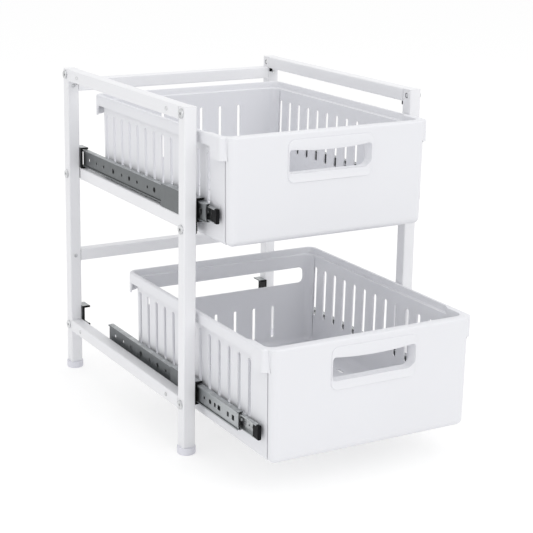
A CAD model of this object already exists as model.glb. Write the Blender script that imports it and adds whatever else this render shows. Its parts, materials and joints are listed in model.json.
"""Looks of the pull-out cabinet organizer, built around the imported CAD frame.

Lengths are in metres, X to the right, -Y to the front, Z up. The intermediate
members and the baskets are drawn in millimetres first.
"""
import json
import math

import bmesh
import bpy
from mathutils import Matrix, Vector


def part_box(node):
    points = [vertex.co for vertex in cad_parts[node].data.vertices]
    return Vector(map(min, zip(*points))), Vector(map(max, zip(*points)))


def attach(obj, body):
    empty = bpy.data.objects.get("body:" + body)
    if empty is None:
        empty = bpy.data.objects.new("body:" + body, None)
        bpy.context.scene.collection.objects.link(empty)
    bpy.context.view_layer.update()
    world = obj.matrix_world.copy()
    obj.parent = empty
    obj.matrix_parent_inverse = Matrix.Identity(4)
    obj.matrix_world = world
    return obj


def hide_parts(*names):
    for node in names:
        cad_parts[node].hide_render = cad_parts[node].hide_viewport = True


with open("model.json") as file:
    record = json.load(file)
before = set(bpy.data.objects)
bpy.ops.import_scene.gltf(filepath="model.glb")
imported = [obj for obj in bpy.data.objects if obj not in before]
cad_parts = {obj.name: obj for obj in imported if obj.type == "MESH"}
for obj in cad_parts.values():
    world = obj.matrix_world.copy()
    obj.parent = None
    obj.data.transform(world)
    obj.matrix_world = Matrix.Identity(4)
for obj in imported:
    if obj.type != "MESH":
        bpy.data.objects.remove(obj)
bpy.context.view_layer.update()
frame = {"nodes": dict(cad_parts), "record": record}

# Studio: a white floor that reaches past the picture and glows a little, as a
# light table does, a white room, and three soft lamps.
scene = bpy.context.scene
scene.view_settings.view_transform = "Standard"


class Wire:
    """A socket of a shader, with arithmetic that adds the Math nodes."""

    def __init__(self, tree, socket=None):
        self.tree, self.socket = tree, socket

    def node(self, kind, settings=None, values=None, out=0):
        """A new node's output: settings come first, then the values or links of its sockets."""
        made = self.tree.nodes.new("ShaderNode" + kind)
        for name, value in (settings or {}).items():
            if name == "stops":
                for place, shade in value:
                    stop = made.color_ramp.elements.new(place)
                    stop.color = (shade, shade, shade, 1)
                made.color_ramp.elements.remove(made.color_ramp.elements[0])
                made.color_ramp.elements.remove(made.color_ramp.elements[-1])
            else:
                setattr(made, name, value)
        for name, value in (values or {}).items():
            if isinstance(value, Wire):
                self.tree.links.new(value.socket, made.inputs[name])
            else:
                made.inputs[name].default_value = value
        return Wire(self.tree, made.outputs[out] if made.outputs else None)

    def maths(self, operation, a, b):
        return self.node("Math", {"operation": operation}, {0: a, 1: b})

    def __add__(self, other):
        return self.maths("ADD", self, other)

    def __radd__(self, other):
        return self.maths("ADD", other, self)

    def __sub__(self, other):
        return self.maths("SUBTRACT", self, other)

    def __rsub__(self, other):
        return self.maths("SUBTRACT", other, self)

    def __mul__(self, other):
        return self.maths("MULTIPLY", self, other)

    def __rmul__(self, other):
        return self.maths("MULTIPLY", other, self)

    def __gt__(self, other):
        return self.maths("GREATER_THAN", self, other)

    def __abs__(self):
        return self.maths("ABSOLUTE", self, 0)


def shader(owner):
    """The owner's emptied node tree, as a Wire to build on."""
    owner.use_nodes = True
    owner.node_tree.nodes.clear()
    return Wire(owner.node_tree)


def seen_direct(wires):
    """1 for rays that see the white background: camera, gloss and glass."""
    rays = [wires.node("LightPath", out=name) for name in
            ("Is Camera Ray", "Is Glossy Ray", "Is Transmission Ray")]
    return (rays[0] + rays[1] + rays[2]) > 0.5


ROOM_LIGHT = 0.81  # the room is white to the eye, and this bright as a light
world = bpy.data.worlds.new("white_room")
scene.world = world
wires = shader(world)
direct = seen_direct(wires)
sky = wires.node("Background", values={
    "Color": (1, 1, 1, 1), "Strength": direct * (1 - ROOM_LIGHT) + ROOM_LIGHT})
wires.node("OutputWorld", values={"Surface": sky})

# What the eye sees of the floor is part paper, which takes the shadow, and part
# glow; the object gets its light from whiter paper with less glow
FLOOR_WHITE, TABLE_GLOW = 0.90, 0.10
SEEN_WHITE, SEEN_GLOW = 0.46, 0.61
PAPER_GRAIN = 0.002
FLOOR_REACH = 14
floor_mesh = bpy.data.meshes.new("floor")
floor_mesh.from_pydata([(x * FLOOR_REACH, y * FLOOR_REACH, 0) for x, y in
                        ((-1, -1), (1, -1), (1, 1), (-1, 1))], [], [(0, 1, 2, 3)])
floor = bpy.data.objects.new("floor", floor_mesh)
scene.collection.objects.link(floor)
paper = bpy.data.materials.new("white_paper")
wires = shader(paper)
grain = wires.node("TexNoise", values={"Scale": 40.0, "Detail": 3.0})
direct = seen_direct(wires)
matt = wires.node("BsdfDiffuse", values={
    "Color": direct * (SEEN_WHITE - FLOOR_WHITE) + FLOOR_WHITE})
strength = direct * (SEEN_GLOW - TABLE_GLOW) + TABLE_GLOW + grain * PAPER_GRAIN
glow = wires.node("Emission", values={"Color": (1, 1, 1, 1), "Strength": strength})
both = wires.node("AddShader", values={0: matt, 1: glow})
wires.node("OutputMaterial", values={"Surface": both})
floor_mesh.materials.append(paper)

# Lamps: place, the point that each looks at, size and watts
for name, place, aim, size, watts in (
        ("front_lamp", (1.0, -2.8, 3.0), (0, 0, 0.2), 2.6, 33),
        ("top_lamp", (0.2, 0.3, 3.0), (0, 0, 0.2), 2.0, 11),
        ("left_lamp", (-1.8, -0.7, 0.35), (0, 0.1, 0.0), 1.2, 4)):
    lamp = bpy.data.lights.new(name, "AREA")
    lamp.shape, lamp.size, lamp.energy = "SQUARE", size, watts
    lamp_object = bpy.data.objects.new(name, lamp)
    lamp_object.location = place
    ray = Vector(aim) - Vector(place)
    lamp_object.rotation_euler = ray.to_track_quat("-Z", "Y").to_euler()
    lamp_object.visible_camera = False
    scene.collection.objects.link(lamp_object)

# Camera: a long lens from the front left, at the photograph's height. It aims
# past the object's left side, and the shift brings the object to the middle.
SENSOR, LENS = 36, 95.8
SHIFT = 0.0994
CAMERA_PLACE = (-1.05175, -1.80483, 0.81496)
CAMERA_TURN, CAMERA_RISE, CAMERA_ROLL = -28.22, 13.65, 0.51
camera = bpy.data.cameras.new("camera")
camera.sensor_width, camera.lens, camera.clip_end = SENSOR, LENS, 60
camera.shift_x, camera.shift_y = SHIFT, -SHIFT
camera_object = bpy.data.objects.new("camera", camera)
turn, rise, roll = (math.radians(a) for a in (CAMERA_TURN, CAMERA_RISE, CAMERA_ROLL))
back = Vector((math.sin(turn) * math.cos(rise), -math.cos(turn) * math.cos(rise), math.sin(rise)))
right = Vector((math.cos(turn), math.sin(turn), 0))
up = back.cross(right)
right_rolled = right * math.cos(roll) + up * math.sin(roll)
up_rolled = up * math.cos(roll) - right * math.sin(roll)
camera_object.matrix_world = Matrix((right_rolled, up_rolled, back)).transposed().to_4x4()
camera_object.location = CAMERA_PLACE
scene.collection.objects.link(camera_object)
scene.camera = camera_object

# Posts, rails and back bars: 19 mm square steel tube, bolted together, powder
# coated in satin white, with the faint orange peel of a sprayed coat.
MM = 0.001


def rgba(colour, share=1.0):
    """The colour for a node's socket, darkened to a share of itself."""
    return (*(c * share for c in colour), 1)


def powder_coat(name, colour, rough):
    """Sprayed coat: fine peel, slow changes of tone, and soft light along the edges."""
    material = bpy.data.materials.new(name)
    wires = shader(material)
    place = wires.node("TexCoord", out="Object")
    peel = wires.node("TexNoise", values={
        "Vector": place, "Scale": 420.0, "Detail": 2.0, "Roughness": 0.4})
    drift = wires.node("TexNoise", values={"Vector": place, "Scale": 14.0, "Detail": 3.0})
    tint = wires.node("MixRGB", values={
        "Fac": drift, "Color1": rgba(colour), "Color2": rgba(colour, 0.965)})
    edge = wires.node("Bevel", {"samples": 4}, {"Radius": 0.6 * MM})
    bump = wires.node("Bump", values={
        "Height": peel, "Strength": 0.05, "Distance": 0.1 * MM, "Normal": edge})
    skin = wires.node("BsdfPrincipled", values={
        "Base Color": tint, "Roughness": drift * 0.12 + rough, "Normal": bump, "IOR": 1.5})
    wires.node("OutputMaterial", values={"Surface": skin})
    return material


bodies = frame["record"]["behaviour"]["bodies"]
BODY_OF = {node: body for body, nodes in bodies.items() for node in nodes}


def place_piece(name, mesh, node, material):
    """Puts a finished mesh in the scene in place of its CAD node."""
    mesh.materials.clear()
    mesh.materials.append(material)
    piece = bpy.data.objects.new(name, mesh)
    scene.collection.objects.link(piece)
    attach(piece, BODY_OF[node])
    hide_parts(node)
    return piece


def smooth_faces(mesh, angle):
    """Smooth shading, apart from edges that are sharper than the angle."""
    mesh.shade_smooth()
    mesh.set_sharp_from_angle(angle=math.radians(angle))


# Points that are welded, faces that count as one flat, edges that stay sharp in
# the shading, and edges that are eased
WELD_GAP, FLAT_ANGLE, SHARP_ANGLE, EASED_ANGLE = 2e-6, 0.8, 32, 38


def eased(node, material, width):
    """The CAD piece with its sharp edges eased, as deburring and coating do; 0 leaves them."""
    mesh = frame["nodes"][node].data.copy()
    mesh.name = node
    shape = bmesh.new()
    shape.from_mesh(mesh)
    bmesh.ops.remove_doubles(shape, verts=shape.verts, dist=WELD_GAP)
    bmesh.ops.dissolve_limit(shape, angle_limit=math.radians(FLAT_ANGLE), verts=shape.verts,
                             edges=shape.edges)
    shape.to_mesh(mesh)
    shape.free()
    for name in [a.name for a in mesh.attributes if a.name in ("custom_normal", "sharp_face")]:
        mesh.attributes.remove(mesh.attributes[name])
    smooth_faces(mesh, SHARP_ANGLE)
    piece = place_piece(node + "_finished", mesh, node, material)
    if width:
        ease = piece.modifiers.new("eased_edges", "BEVEL")
        ease.width, ease.segments, ease.limit_method = width, 2, "ANGLE"
        ease.angle_limit = math.radians(EASED_ANGLE)
        ease.use_clamp_overlap = True
        ease.harden_normals = True


coat = powder_coat("white_coat", (0.845, 0.848, 0.87), 0.36)
SIDES = ("left", "right")
tubes = [f"post_{end}_{side}" for end in ("front", "rear") for side in SIDES]
tubes += [f"{level}_rail_{side}" for level in ("top", "middle", "lower") for side in SIDES]
tubes += ["back_bar_top", "back_bar_middle"]
for node in tubes:
    eased(node, coat, 0.4 * MM)


# Feet: moulded grey-lavender plastic with a rounded lower edge, pushed into
# the posts by their plugs.
def moulded(name, colour, rough, grain_size, grain_depth, gloss=0.5, crevice=1.0):
    """Moulded plastic: fine grain and slow changes of tone; narrow gaps darken to "crevice"."""
    material = bpy.data.materials.new(name)
    wires = shader(material)
    place = wires.node("TexCoord", out="Object")
    grain = wires.node("TexNoise", values={
        "Vector": place, "Scale": grain_size, "Detail": 4.0, "Roughness": 0.6})
    flow = wires.node("TexNoise", values={"Vector": place, "Scale": 9.0, "Detail": 2.0})
    tint = wires.node("MixRGB", values={
        "Fac": flow, "Color1": rgba(colour), "Color2": rgba(colour, 0.97)})
    if crevice < 1:
        open_sky = wires.node("AmbientOcclusion", {"samples": 8}, {"Distance": 12 * MM}, out="AO")
        shade = wires.node("ValToRGB", {"stops": ((0.0, crevice), (0.3, 1.0))}, {"Fac": open_sky})
        tint = wires.node("MixRGB", {"blend_type": "MULTIPLY"}, {
            "Fac": 1.0, "Color1": tint, "Color2": shade})
    bump = wires.node("Bump", values={
        "Height": grain, "Strength": 0.12, "Distance": grain_depth})
    skin = wires.node("BsdfPrincipled", values={
        "Base Color": tint, "Roughness": grain * 0.1 + rough, "Normal": bump, "IOR": 1.48,
        "Specular IOR Level": gloss})
    wires.node("OutputMaterial", values={"Surface": skin})
    return material


foot_grey = moulded("foot_grey", (0.78, 0.78, 0.84), 0.42, 1600.0, 0.05 * MM)
eased("feet", foot_grey, 0.5 * MM)

# Corner connectors: black plastic blocks in the tube ends; only their edges
# show at the joints, under the top rails and beside the middle rails.
black = moulded("black_plastic", (0.006, 0.006, 0.007), 0.42, 1400.0, 0.05 * MM, 0.12)
eased("corner_connectors", black, 0.3 * MM)


# Bolts and screws: zinc-plated steel, hexagon socket in the frame bolts and a
# cross recess in the small screws.
def zinc_plate(name, colour, rough, streaks, web=None):
    """Zinc plate, mottled and streaked; "web" has its upright flats' tones, rear and front."""
    material = bpy.data.materials.new(name)
    wires = shader(material)
    place = wires.node("TexCoord", out="Object")
    rolled = wires.node("Mapping", values={"Vector": place, "Scale": (900.0, 14.0, 900.0)})
    drawn = wires.node("TexNoise", values={"Vector": rolled, "Scale": 1.0, "Detail": 3.0})
    mottle = wires.node("TexNoise", values={
        "Vector": place, "Scale": 90.0, "Detail": 5.0, "Roughness": 0.65})
    shade = wires.node("ValToRGB", {"stops": ((0.35, 0.0), (0.7, 1.0))}, {"Fac": mottle})
    tint = wires.node("MixRGB", values={
        "Fac": shade, "Color1": rgba(colour, 0.62), "Color2": rgba(colour)})
    if web:
        rear_y, front_y = -0.08, -0.2
        normal = wires.node("NewGeometry", out="Normal")
        facing = wires.node("SeparateXYZ", values={"Vector": normal}, out="X")
        along = wires.node("SeparateXYZ", values={"Vector": place}, out="Y")
        forward = wires.node("MapRange", values={
            "Value": along, "From Min": rear_y, "From Max": front_y})
        flat = wires.node("MixRGB", values={
            "Fac": forward, "Color1": rgba(web[0]), "Color2": rgba(web[1])})
        tint = wires.node("MixRGB", values={
            "Fac": abs(facing) > 0.8, "Color1": tint, "Color2": flat})
    bump = wires.node("Bump", values={
        "Height": drawn, "Strength": streaks, "Distance": 0.04 * MM})
    skin = wires.node("BsdfPrincipled", values={
        "Base Color": tint, "Metallic": 1.0, "Roughness": mottle * 0.22 + rough, "Normal": bump})
    wires.node("OutputMaterial", values={"Surface": skin})
    return material


bright_zinc = zinc_plate("bright_zinc", (0.84, 0.85, 0.86), 0.26, 0.1)
for node in ("frame_bolts", "rail_screws", "back_bar_screws", "slide_screws",
             "upper_drawer_screws", "lower_drawer_screws"):
    eased(node, bright_zinc, 0.25 * MM)

# Slides: cold-rolled zinc-plated steel with rolled flanges and punched holes.
# The retainers, guides, cages and end caps are black plastic. The pieces that
# carry balls keep their edges, which run close to the tracks.
slide_zinc = zinc_plate("slide_zinc", (0.56, 0.58, 0.59), 0.3, 0.25,
                        ((0.17, 0.18, 0.185), (0.46, 0.48, 0.49)))
drawer_zinc = zinc_plate("drawer_zinc", (0.66, 0.68, 0.69), 0.28, 0.25)
LEVELS = ("upper", "lower")
SLIDE_EDGE = 0.25 * MM
for level in LEVELS:
    for side in SIDES:
        slide = f"{level}_{side}_"
        eased(slide + "front_channel", slide_zinc, SLIDE_EDGE)
        eased(slide + "rear_channel", slide_zinc, SLIDE_EDGE)
        eased(slide + "drawer_member", drawer_zinc, SLIDE_EDGE)
        for part in ("front_ball_retainer", "rear_ball_retainer", "intermediate_guide",
                     "ball_cage", "end_cap"):
            eased(slide + part, black, 0 if "ball" in part else SLIDE_EDGE)


# Intermediate members: an H section with rolled lips, its web set back between
# them and punched with square windows in front and round holes further back.
def arc(x, y, radius, start, end, steps):
    """Points of an arc round (x, y), angles in degrees from +X."""
    turns = [math.radians(start + (end - start) * k / steps) for k in range(steps + 1)]
    return [(x + radius * math.cos(t), y + radius * math.sin(t)) for t in turns]


def loft(rings):
    """A closed surface through rings of equally many points, capped at both ends."""
    shape = bmesh.new()
    loops = [[shape.verts.new(point) for point in ring] for ring in rings]
    for low, high in zip(loops, loops[1:]):
        for k in range(len(low)):
            shape.faces.new((low[k - 1], low[k], high[k], high[k - 1]))
    shape.faces.new(loops[0])
    shape.faces.new(loops[-1])
    bmesh.ops.recalc_face_normals(shape, faces=shape.faces)
    return shape


def prism(outline, place):
    """A closed prism: "place" turns a point of the outline and 0 or 1 into one of the piece."""
    return loft([[place(u, v, end) for u, v in outline] for end in (0, 1)])


def box_outline(x, y, width, height, r):
    """A rectangle round (x, y) with rounded corners."""
    corners = []
    for k, (a, b) in enumerate(((1, 1), (-1, 1), (-1, -1), (1, -1))):
        corners += arc(x + a * (width / 2 - r), y + b * (height / 2 - r), r, 90 * k, 90 * k + 90, 4)
    return corners


def joined(shapes, name):
    """One object from several closed shapes."""
    whole = bpy.data.meshes.new(name)
    merged = bmesh.new()
    for shape in shapes:
        part = bpy.data.meshes.new("part")
        bmesh.ops.recalc_face_normals(shape, faces=shape.faces)
        shape.to_mesh(part)
        shape.free()
        merged.from_mesh(part)
        bpy.data.meshes.remove(part)
    merged.to_mesh(whole)
    merged.free()
    made = bpy.data.objects.new(name, whole)
    scene.collection.objects.link(made)
    return made


def combined(base, tools):
    """The base with each tool added or taken away, as one clean mesh."""
    for operation, tool in tools:
        step = base.modifiers.new(operation.lower(), "BOOLEAN")
        step.operation, step.object, step.solver = operation, tool, "MANIFOLD"
    ready = base.evaluated_get(bpy.context.evaluated_depsgraph_get())
    mesh = bpy.data.meshes.new_from_object(ready)
    for made in [base] + [tool for operation, tool in tools]:
        old = made.data
        bpy.data.objects.remove(made)
        bpy.data.meshes.remove(old)
    return mesh


# The section across the member, from the post inwards, and half its height
MEMBER_FACE, WEB_FACE, WEB_BACK, MEMBER_BACK = 2.64, 4.64, 5.64, 12.0
MEMBER_HALF, LIP_DEPTH, LIP_THICK, LIP_ROUND, SHEET = 13.46, 2.3, 1, 1.1, 1.2
# The balls' tracks: place across, height from the flange, radius and angles
OUTER_TRACK = (5.2, 1.04, 1.66, 218.8, 321.2)
INNER_TRACK = (9, -2.31, 1.63, 42.9, 137.1)
# Windows: place from the front end, length and height; holes: place and diameter
WINDOWS = ((14.5, 6.5, 7.5), (29, 5.5, 7), (54.5, 8, 7), (66.5, 5, 6))
HOLES = ((81, 7), (98, 4.5), (132, 5), (161.5, 8), (185, 4.5), (221, 5), (249, 7), (276, 4.5),
         (308, 8), (344, 5), (372, 4.5), (402, 5))
WINDOW_ROUND = 1.0
PUNCH_START, PUNCH_LENGTH = 3.9, 3
END_GAP = 0.03
FORMED_ANGLE = 30


def track(across, rise, radius, start, end):
    """A ball track in the upper flange."""
    return arc(across, MEMBER_HALF + rise, radius, start, end, 10)


def member_section():
    """The member's outline: its upper half, then the same below."""
    lip, under = MEMBER_HALF - LIP_DEPTH, MEMBER_HALF - SHEET
    top, r = MEMBER_HALF - LIP_ROUND, LIP_ROUND
    upper = [(WEB_FACE, under), (MEMBER_FACE + LIP_THICK, under), (MEMBER_FACE + LIP_THICK, lip),
             (MEMBER_FACE, lip)]
    upper += arc(MEMBER_FACE + r, top, r, 180, 90, 4) + track(*OUTER_TRACK)
    upper += arc(MEMBER_BACK - r, top, r, 90, 0, 4)
    upper += [(MEMBER_BACK, lip), (MEMBER_BACK - LIP_THICK, lip), (MEMBER_BACK - LIP_THICK, under)]
    upper += track(*INNER_TRACK) + [(WEB_BACK, under)]
    return upper + [(s, -z) for s, z in reversed(upper)]


for level in LEVELS:
    for side, inwards in zip(SIDES, (1, -1)):
        node = f"{level}_{side}_intermediate_member"
        low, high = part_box(node)
        front = low[1] / MM + END_GAP
        length = (high[1] - low[1]) / MM - 2 * END_GAP
        middle = (low[2] + high[2]) / 2 / MM
        post_face = (low[0] if inwards > 0 else high[0]) / MM - inwards * MEMBER_FACE

        def in_member(s, z, end):
            return (post_face + inwards * s, front + length * end, middle + z)

        def punched(y, z, end):
            return (post_face + inwards * (PUNCH_START + PUNCH_LENGTH * end), y, z)

        cuts = [prism(box_outline(front + y, middle, width, height, WINDOW_ROUND), punched)
                for y, width, height in WINDOWS]
        cuts += [prism(arc(front + y, middle, size / 2, 0, 345, 23), punched) for y, size in HOLES]
        beam = joined([prism(member_section(), in_member)], "member")
        mesh = combined(beam, (("DIFFERENCE", joined(cuts, "punches")),))
        mesh.name = node + "_rolled"
        mesh.transform(Matrix.Scale(MM, 4))
        smooth_faces(mesh, FORMED_ANGLE)
        place_piece(node + "_rolled", mesh, node, slide_zinc)

# Baskets: each is one injection moulding in satin white plastic. A tapered
# slotted tub hangs from a rim with a skirt and corner tabs, and a deep front
# panel with returned edges and a raised handle frame covers its front.
LENGTH, WALL, DRAFT = 431.0, 2.2, 2.0
RIM_HALF, TUB_HALF = 169.5, 160.5
TUB_FRONT, TUB_REAR = 13.0, 422.0
# Places of the points along a side: each outline spreads them from its own front
# corner to its own rear corner, with those before and after SIDE_SPLIT apart
SIDE_START, SIDE_SPLIT, SIDE_END = 14, 100, 417
SIDE_Y = (14, 20, 27, 33, 35.5, 36.9, 37.8, 38.1, 38.2, 38.5, 39.2, 40.6, 43, 49, 53, 55, 57, 59,
          61, 63, 66, 72, 120, 180, 240, 300, 360, 400, 414, 416.9, 417)
SPARE_STEP, SPARE_SHIFT = 0.02, 0.2


def half_outline(half, front, rear, corner, rear_corner, side=None, ear=None):
    """Right half of a basket's plan, from the middle of its front to the middle of its back.

    All have equally many points: one without an ear has a close row of spare ones.
    """
    points = [((half - corner) * k / 4, front) for k in range(4)]
    points += arc(half - corner, front + corner, corner, -90, 0, 7)
    wide = side or (lambda y: half)
    start, end = SIDE_START if ear else front + corner, rear - rear_corner
    points += ear or [(wide(start), start + SPARE_STEP * (k + 1)) for k in range(7)]
    for y in SIDE_Y:
        if y < SIDE_SPLIT:
            y = SIDE_SPLIT - (SIDE_SPLIT - y) * (SIDE_SPLIT - start) / (SIDE_SPLIT - SIDE_START)
            points.append((wide(y), y if ear else y + SPARE_SHIFT))
        else:
            y = SIDE_SPLIT + (y - SIDE_SPLIT) * (end - SIDE_SPLIT) / (SIDE_END - SIDE_SPLIT)
            points.append((wide(y), y))
    reach = wide(end)
    points += arc(reach - rear_corner, rear - rear_corner, rear_corner, 0, 90, 8)[1:]
    points += [((reach - rear_corner) * (1 - k / 4), rear) for k in range(1, 5)]
    return points


def close_ring(half_ring):
    """The whole ring: the right half and its mirror image."""
    return half_ring + [(-x, y, z) for x, y, z in half_ring[-2:0:-1]]


def rising(y, low, high, start, end):
    """A smooth change from low to high as y goes from start to end."""
    t = min(max((y - start) / (end - start), 0), 1)
    return low + (high - low) * t * t * (3 - 2 * t)


# Skirt and ears: the skirt hangs from the rim, deeper at the corner tabs and
# shallow behind the panel, and an ear joins it to each end of the panel.
SKIRT_DEPTH, TAB_DEPTH, COVERED_DEPTH = 16, 32, 3.6
COVERED_HALF, COVERED_REAR = 159.7, 13.9
TAB_SIDE, FRONT_TAB, REAR_TAB = 152, 35, 416.5
TAB_CURVE = ((35.6, 31.7), (37, 30.8), (37.9, 29.4), (38.15, 27.5), (38.3, 20), (38.6, 18.2),
             (39.3, 16.9), (40.7, 16.2))
EAR_ROOT, EAR_START, EAR_MIDDLE, EAR_FRONT, EAR_ROUND = 159.8, 9.5, 162.4, 10, 4
INNER_EAR = ((EAR_ROOT, 10.7), (EAR_MIDDLE, 12.0))
INNER_SHIFT = 0.4
RIM_CORNER, RIM_REAR_CORNER, RIM_ROUND = 10, 14, 3


def skirt_foot(x, y):
    """How far the skirt reaches below the rim at a point of its outline."""
    if y < COVERED_REAR and x < COVERED_HALF:
        return COVERED_DEPTH
    if y > REAR_TAB or y < FRONT_TAB:
        return TAB_DEPTH if x > TAB_SIDE else SKIRT_DEPTH
    return next((depth for near, depth in TAB_CURVE if y < near), SKIRT_DEPTH)


def skirt_ring(h, plan, low, top, shift=0.0):
    """The outline at the skirt's foot (low 1), at its top (low 0) or between.

    With the shift, the inside's foot steps up where the outside's does.
    """
    return close_ring([(x, y, h - (low * skirt_foot(x + shift, y) + (1 - low) * top))
                       for x, y in plan])


def outer_rim(h, inset, low, flare, top):
    """Outside of panel, ears and rim, drawn in by "inset"; "flare" moves the ear's root forward."""
    ear = [(EAR_ROOT, EAR_START + 0.6 * inset - 4.2 * flare),
           (EAR_MIDDLE, EAR_FRONT + inset - 1.5 * flare)]
    ear += arc(RIM_HALF - EAR_ROUND, SIDE_START, EAR_ROUND - inset, -90, -18, 4)
    plan = half_outline(TUB_HALF - inset, inset, LENGTH - inset, RIM_CORNER - inset,
                        RIM_REAR_CORNER - inset, side=lambda y: RIM_HALF - inset, ear=ear)
    return skirt_ring(h, plan, low, top)


def inner_rim(h, low):
    """Inside of the skirt, a wall's thickness in: its top under the deck, or its foot."""
    ear = list(INNER_EAR)
    ear += arc(RIM_HALF - EAR_ROUND, SIDE_START, EAR_ROUND - WALL, -90, -18, 4)
    plan = half_outline(TUB_HALF - WALL, WALL * (2 - low), LENGTH - WALL,
                        RIM_CORNER - WALL - 2 * (1 - low), RIM_REAR_CORNER - WALL,
                        side=lambda y: RIM_HALF - WALL, ear=ear)
    return skirt_ring(h, plan, low, WALL, INNER_SHIFT)


# Tub: its walls lean in towards the floor and turn into it with a fillet. At the
# mouth it widens behind the panel, over a ledge inside the rim.
DRAFT_TOP, WALL_LOW, WALL_HIGH = 10, 40, 14
FILLET, FLOOR_THICK = 8, 2.4
TUB_CORNER, LEAST_CORNER, PANEL_CORNER = 14, 5, 0.6
WIDER_START, WIDER_END = 52, 62
# Rings of the mouth: how far in from the tub's wall at the front and further back,
# how far below the rim there, and the front corner's radius
MOUTH_OUTSIDE = ((0, 0, 12.8, 12.2, 14), (0, -5.2, 10, 12.2, 14), (0, -5.2, 4, 3, 14))
MOUTH_INSIDE = (
    (1.0, -4.2, 0, 0, 13), (1.85, -3.35, 0.35, 0.35, 12.2), (2.2, -3.0, 1.2, 1.2, 11.8),
    (2.2, -3.0, 8.6, 9.2, 11.8), (2.2, -2.2, 9.0, 10, 11.8), (2.2, 1.6, 9.6, 10, 11.8),
    (2.2, 2.2, 10.6, 10.6, 11.8))


def tub_ring(h, z, inset, shrink):
    """The tub's outside, or with an inset its inside; "shrink" draws the fillet's rings in."""
    drawn = DRAFT * (1 - z / (h - DRAFT_TOP)) + inset + shrink
    corner = max(TUB_CORNER - inset - shrink, LEAST_CORNER)
    plan = half_outline(TUB_HALF - drawn, TUB_FRONT + inset + shrink, TUB_REAR - drawn,
                        corner if inset else PANEL_CORNER, corner)
    return close_ring([(x, y, z) for x, y in plan])


def mouth_ring(h, near, far, near_depth, far_depth, corner):
    """A ring that is narrow in front and wide behind, with its own height in each."""
    def side(y):
        return rising(y, TUB_HALF - near, TUB_HALF - far, WIDER_START, WIDER_END)

    rear_corner = 9 + corner * 0.2
    plan = half_outline(TUB_HALF - near, TUB_FRONT + near, TUB_REAR - far, corner, rear_corner,
                        side=side)
    return close_ring([(x, y, h - rising(y, near_depth, far_depth, WIDER_START, WIDER_END))
                       for x, y in plan])


def tub_and_rim(h):
    """The tub, the rim and its skirt: one skin, from under the floor, over the rim and in."""
    fillet = [(FILLET * (1 - math.sin(a)), FILLET * (1 - math.cos(a)))
              for a in (math.radians(18 * k) for k in range(6))]
    rings = [tub_ring(h, up, 0, shrink) for shrink, up in fillet]
    rings += [tub_ring(h, h - WALL_LOW, 0, 0), tub_ring(h, h - WALL_HIGH, 0, 0)]
    rings += [mouth_ring(h, *ring) for ring in MOUTH_OUTSIDE]
    rings += [inner_rim(h, 0), inner_rim(h, 1)]
    rings += [outer_rim(h, 0, low, flare, RIM_ROUND) for low, flare in
              ((1, 1), (0.7, 0.45), (0.35, 0.12), (0, 0))]
    for k in range(1, 5):
        turn = math.radians(22.5 * k)
        rings.append(outer_rim(h, RIM_ROUND * (1 - math.cos(turn)), 0, 0,
                               RIM_ROUND * (1 - math.sin(turn))))
    rings += [mouth_ring(h, *ring) for ring in MOUTH_INSIDE]
    rings += [tub_ring(h, h - WALL_HIGH, WALL, 0), tub_ring(h, h - WALL_LOW, WALL, 0)]
    rings += [tub_ring(h, FLOOR_THICK + up, WALL, shrink) for shrink, up in reversed(fillet)]
    return loft(rings)


# Front panel: a shallow tray on edge, open behind. Its top edge is nearly sharp,
# and its sides and foot turn back with a wide curve.
PANEL_DEPTH, PANEL_DROP = 10.2, 1.5
PANEL_CORNER_ROUND, LEAST_ROUND = 9.5, 3
PANEL_CURVE, PANEL_TOP_CURVE, INNER_CURVE_SHARE = 10, 2, 0.78
PANEL_STEPS = (0, 0.12, 0.45, 1.1, 2, 3.4, 5.5, 8, 10, PANEL_DEPTH)


def panel_ring(h, y, inset, top_inset):
    """Outline of the panel at a depth; the insets draw its sides and foot in, and its top."""
    corner = max(PANEL_CORNER_ROUND - inset, LEAST_ROUND)
    low, high = inset, h - PANEL_DROP - top_inset

    def half_at(z):
        return TUB_HALF - DRAFT * (1 - z / h) - inset

    foot, top = half_at(low) - corner, half_at(high)
    points = [(foot * k / 4, low) for k in range(4)]
    points += arc(foot, low + corner, corner, -90, 0, 6)
    points += [(half_at(z), z) for z in (low + (high - low) * k / 4 for k in range(1, 5))]
    points += [(top * (1 - k / 4), high) for k in range(1, 5)]
    return close_ring([(x, y, z) for x, z in points])


def curve_inset(y, radius):
    """How far a rounded edge draws the outline in at a depth."""
    return radius - math.sqrt(radius ** 2 - (radius - y) ** 2) if y < radius else 0


def panel_shell(h):
    """The tray: outside from the face back, then inside from the back to the face."""
    rings = [panel_ring(h, y, curve_inset(y, PANEL_CURVE), curve_inset(y, PANEL_TOP_CURVE))
             for y in PANEL_STEPS]
    rings += [panel_ring(h, WALL + y * (PANEL_DEPTH - WALL) / PANEL_DEPTH,
                         WALL + curve_inset(y, PANEL_CURVE) * INNER_CURVE_SHARE,
                         WALL + curve_inset(y, PANEL_TOP_CURVE))
              for y in reversed(PANEL_STEPS)]
    return loft(rings)


# Handle: a raised frame round the finger opening. Its lower band slopes in
# towards the fingers, and the opening's top bows down a little in the middle.
GRIP_HALF, GRIP_TOP, GRIP_FOOT, GRIP_BOW = 67.0, 23.5, 57.5, 3.6
GRIP_LEFT, GRIP_RIGHT, GRIP_UPPER = 6, 12, 4
FRAME_HALF, FRAME_TOP, FRAME_FOOT, FRAME_ROUND = 69.0, 9.5, 70.0, 10
FRAME_RISE, FRAME_BACK = 1.6, 14.1
SLOPE_START, SLOPE_LENGTH, SLOPE_DIP = 50, 7.5, 2.6
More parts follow.
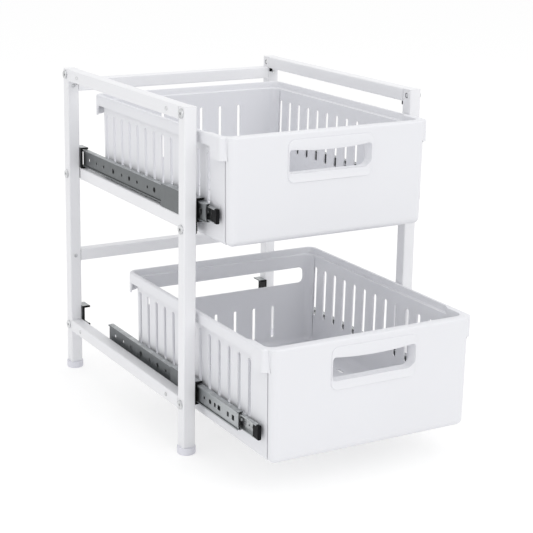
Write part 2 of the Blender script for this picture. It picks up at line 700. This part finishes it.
# The frame's edge: drawn in, and depth; the opening's edge: drawn out, and sunk
FRAME_EDGE = ((0, FRAME_BACK), (0, -0.7), (0.25, -1.25), (0.9, -FRAME_RISE))
GRIP_EDGE = ((1.0, 0.0), (0.3, 0.25), (0.0, 0.95), (-1.0, 1.2))


def handle_ring(half, top, foot, radii, bow):
    """Outline from the middle of the foot round by the right; heights are down from the rim.

    The radii are those of the lower left, the lower right and the upper corners.
    """
    left, right, upper = radii
    points = [((half - right) * k / 8, foot) for k in range(8)]
    points += [(x, -z) for x, z in arc(half - right, right - foot, right, -90, 0, 8)]
    points += [(x, -z) for x, z in arc(half - upper, -top - upper, upper, 0, 90, 6)]
    for k in range(1, 16):
        across = 1 - k / 8
        points.append(((half - upper) * across, top + bow * (1 - across ** 2)))
    points += [(x, -z) for x, z in arc(upper - half, -top - upper, upper, 90, 180, 6)]
    points += [(x, -z) for x, z in arc(left - half, left - foot, left, 180, 270, 8)]
    points += [((left - half) * (1 - k / 8), foot) for k in range(1, 8)]
    return points


def grip_outline(grow):
    """The finger opening; its right lower corner has the wider scoop."""
    return handle_ring(GRIP_HALF + grow, GRIP_TOP - grow, GRIP_FOOT + grow,
                       [r + grow for r in (GRIP_LEFT, GRIP_RIGHT, GRIP_UPPER)], GRIP_BOW)


def frame_outline(inset):
    """The handle's raised frame, drawn in by its rounded edge."""
    return handle_ring(FRAME_HALF - inset, FRAME_TOP + inset, FRAME_FOOT - inset,
                       [FRAME_ROUND - inset] * 3, 0)


def handle_frame(h):
    """The frame's outside from the panel's back to its face, then in to the opening."""
    def face(z):
        slope = min(max((z - SLOPE_START) / SLOPE_LENGTH, 0), 1)
        return SLOPE_DIP * slope - FRAME_RISE

    rings = [[(x, y, h - z) for x, z in frame_outline(inset)] for inset, y in FRAME_EDGE]
    rings += [[(x, face(z) + sink, h - z) for x, z in grip_outline(grow)]
              for grow, sink in GRIP_EDGE]
    return loft(rings)


# Openings: upright slots in the sides and back, drain slots in the floor, and a
# hand opening across the lower basket's back. Pads between the side slots take
# the screws of the drawer members.
GRIP_CUT = (-4, 19)
SLOTS, FIRST_SLOT, BEHIND_SLOTS = 13, 60, 30
SLOT_PITCH = (LENGTH - FIRST_SLOT - BEHIND_SLOTS) / (SLOTS - 1)
SLOT_WIDTH, SLOT_LOW, SLOT_HIGH = 8, 111, 28
SIDE_CUT = (-171, 171)
BACK_SLOTS, BACK_PITCH, BACK_WIDTH, BACK_HIGH = 6, 35, 5.5, 34
SHORT_LOW, SHORT_HIGH = 16, 70
BACK_CUT = (407, 424)
HAND_DROP, HAND_SIZE, HAND_CUT = 44, (289, 26, 8), (408, 434)
DRAIN_COLUMNS, DRAIN_WIDTH, DRAIN_ROWS, DRAIN_LENGTH, DRAIN_MIDDLE = 8, 241, 12, 329, 217.5
DRAIN_SIZE, DRAIN_CUT = (5, 18, 1), (-1, 4)
GROOVE_HALF, GROOVE_Y, GROOVE_SIZE = 158.6, 405.0, (1.9, 2.0, 0.3)
GROOVE_LOW, GROOVE_HIGH = 12, 13
PAD_PLACES, PAD_HEIGHT, PAD_SIZE = (0.5, 5.5, 11.5), 41, (15, 18, 1.5)
PAD_START, PAD_FACE = 157.6, 163.3


def bar(outline, axis, start, end):
    """A prism along an axis; the outline holds its points' two other coordinates."""
    def place(u, v, share):
        point = [u, v]
        point.insert("xyz".index(axis), start + (end - start) * share)
        return point

    return prism(outline, place)


def slot_outline(x, width, low, high):
    """An upright slot with round ends."""
    r = width / 2
    return arc(x, high - r, r, 0, 180, 10) + arc(x, low + r, r, 180, 360, 10)


def cutters(h, open_back):
    """All that is cut from the moulding."""
    shapes = [bar([(x, h - z) for x, z in grip_outline(0)], "y", *GRIP_CUT)]
    for i in range(SLOTS):
        slot = slot_outline(FIRST_SLOT + i * SLOT_PITCH, SLOT_WIDTH, h - SLOT_LOW, h - SLOT_HIGH)
        shapes.append(bar(slot, "x", *SIDE_CUT))
    low, high = (SHORT_LOW, SHORT_HIGH) if open_back else (h - SLOT_LOW, h - BACK_HIGH)
    for i in range(BACK_SLOTS):
        slot = slot_outline((i - (BACK_SLOTS - 1) / 2) * BACK_PITCH, BACK_WIDTH, low, high)
        shapes.append(bar(slot, "y", *BACK_CUT))
    if open_back:
        shapes.append(bar(box_outline(0, h - HAND_DROP, *HAND_SIZE), "y", *HAND_CUT))
    for i in range(DRAIN_COLUMNS):
        for j in range(DRAIN_ROWS):
            x = (i - (DRAIN_COLUMNS - 1) / 2) * DRAIN_WIDTH / (DRAIN_COLUMNS - 1)
            y = DRAIN_MIDDLE + (j - (DRAIN_ROWS - 1) / 2) * DRAIN_LENGTH / (DRAIN_ROWS - 1)
            shapes.append(bar(box_outline(x, y, *DRAIN_SIZE), "z", *DRAIN_CUT))
    # A groove down the inside of each side wall near the back leans with the wall
    for side in (-1, 1):
        def leaning(u, v, end):
            return (u - side * DRAFT * (1 - end), v,
                    GROOVE_LOW + (h - GROOVE_HIGH - GROOVE_LOW) * end)

        groove = box_outline(side * GROOVE_HALF, GROOVE_Y, *GROOVE_SIZE)
        shapes.append(prism(groove, leaning))
    return shapes


def screw_pads():
    """Pads on the tub's sides, each midway between two slots."""
    return [bar(box_outline(FIRST_SLOT + place * SLOT_PITCH, PAD_HEIGHT, *PAD_SIZE), "x",
                side * PAD_START, side * PAD_FACE)
            for place in PAD_PLACES for side in (-1, 1)]


# The whole moulding: its closed parts are joined, then the openings are cut
MERGE_GAP, TINY_EDGE, MOULDED_ANGLE = 0.004, 0.002, 30
basket_white = moulded("basket_white", (0.80, 0.805, 0.835), 0.40, 900.0, 0.06 * MM, crevice=0.2)
for level in LEVELS:
    node = f"{level}_basket"
    low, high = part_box(node)
    h = (high[2] - low[2]) / MM
    mesh = combined(joined([tub_and_rim(h)], "tub"), (
        ("UNION", joined([panel_shell(h)], "panel")),
        ("UNION", joined([handle_frame(h)] + screw_pads(), "handle")),
        ("DIFFERENCE", joined(cutters(h, level == "lower"), "cutters"))))
    mesh.name = node + "_moulding"
    shape = bmesh.new()
    shape.from_mesh(mesh)
    bmesh.ops.remove_doubles(shape, verts=shape.verts, dist=MERGE_GAP)
    bmesh.ops.dissolve_degenerate(shape, dist=TINY_EDGE, edges=shape.edges)
    place = Matrix.Translation((0, low[1] + FRAME_RISE * MM, low[2])) @ Matrix.Scale(MM, 4)
    bmesh.ops.transform(shape, verts=shape.verts, matrix=place)
    shape.to_mesh(mesh)
    shape.free()
    smooth_faces(mesh, MOULDED_ANGLE)
    place_piece(node + "_moulding", mesh, node, basket_white)
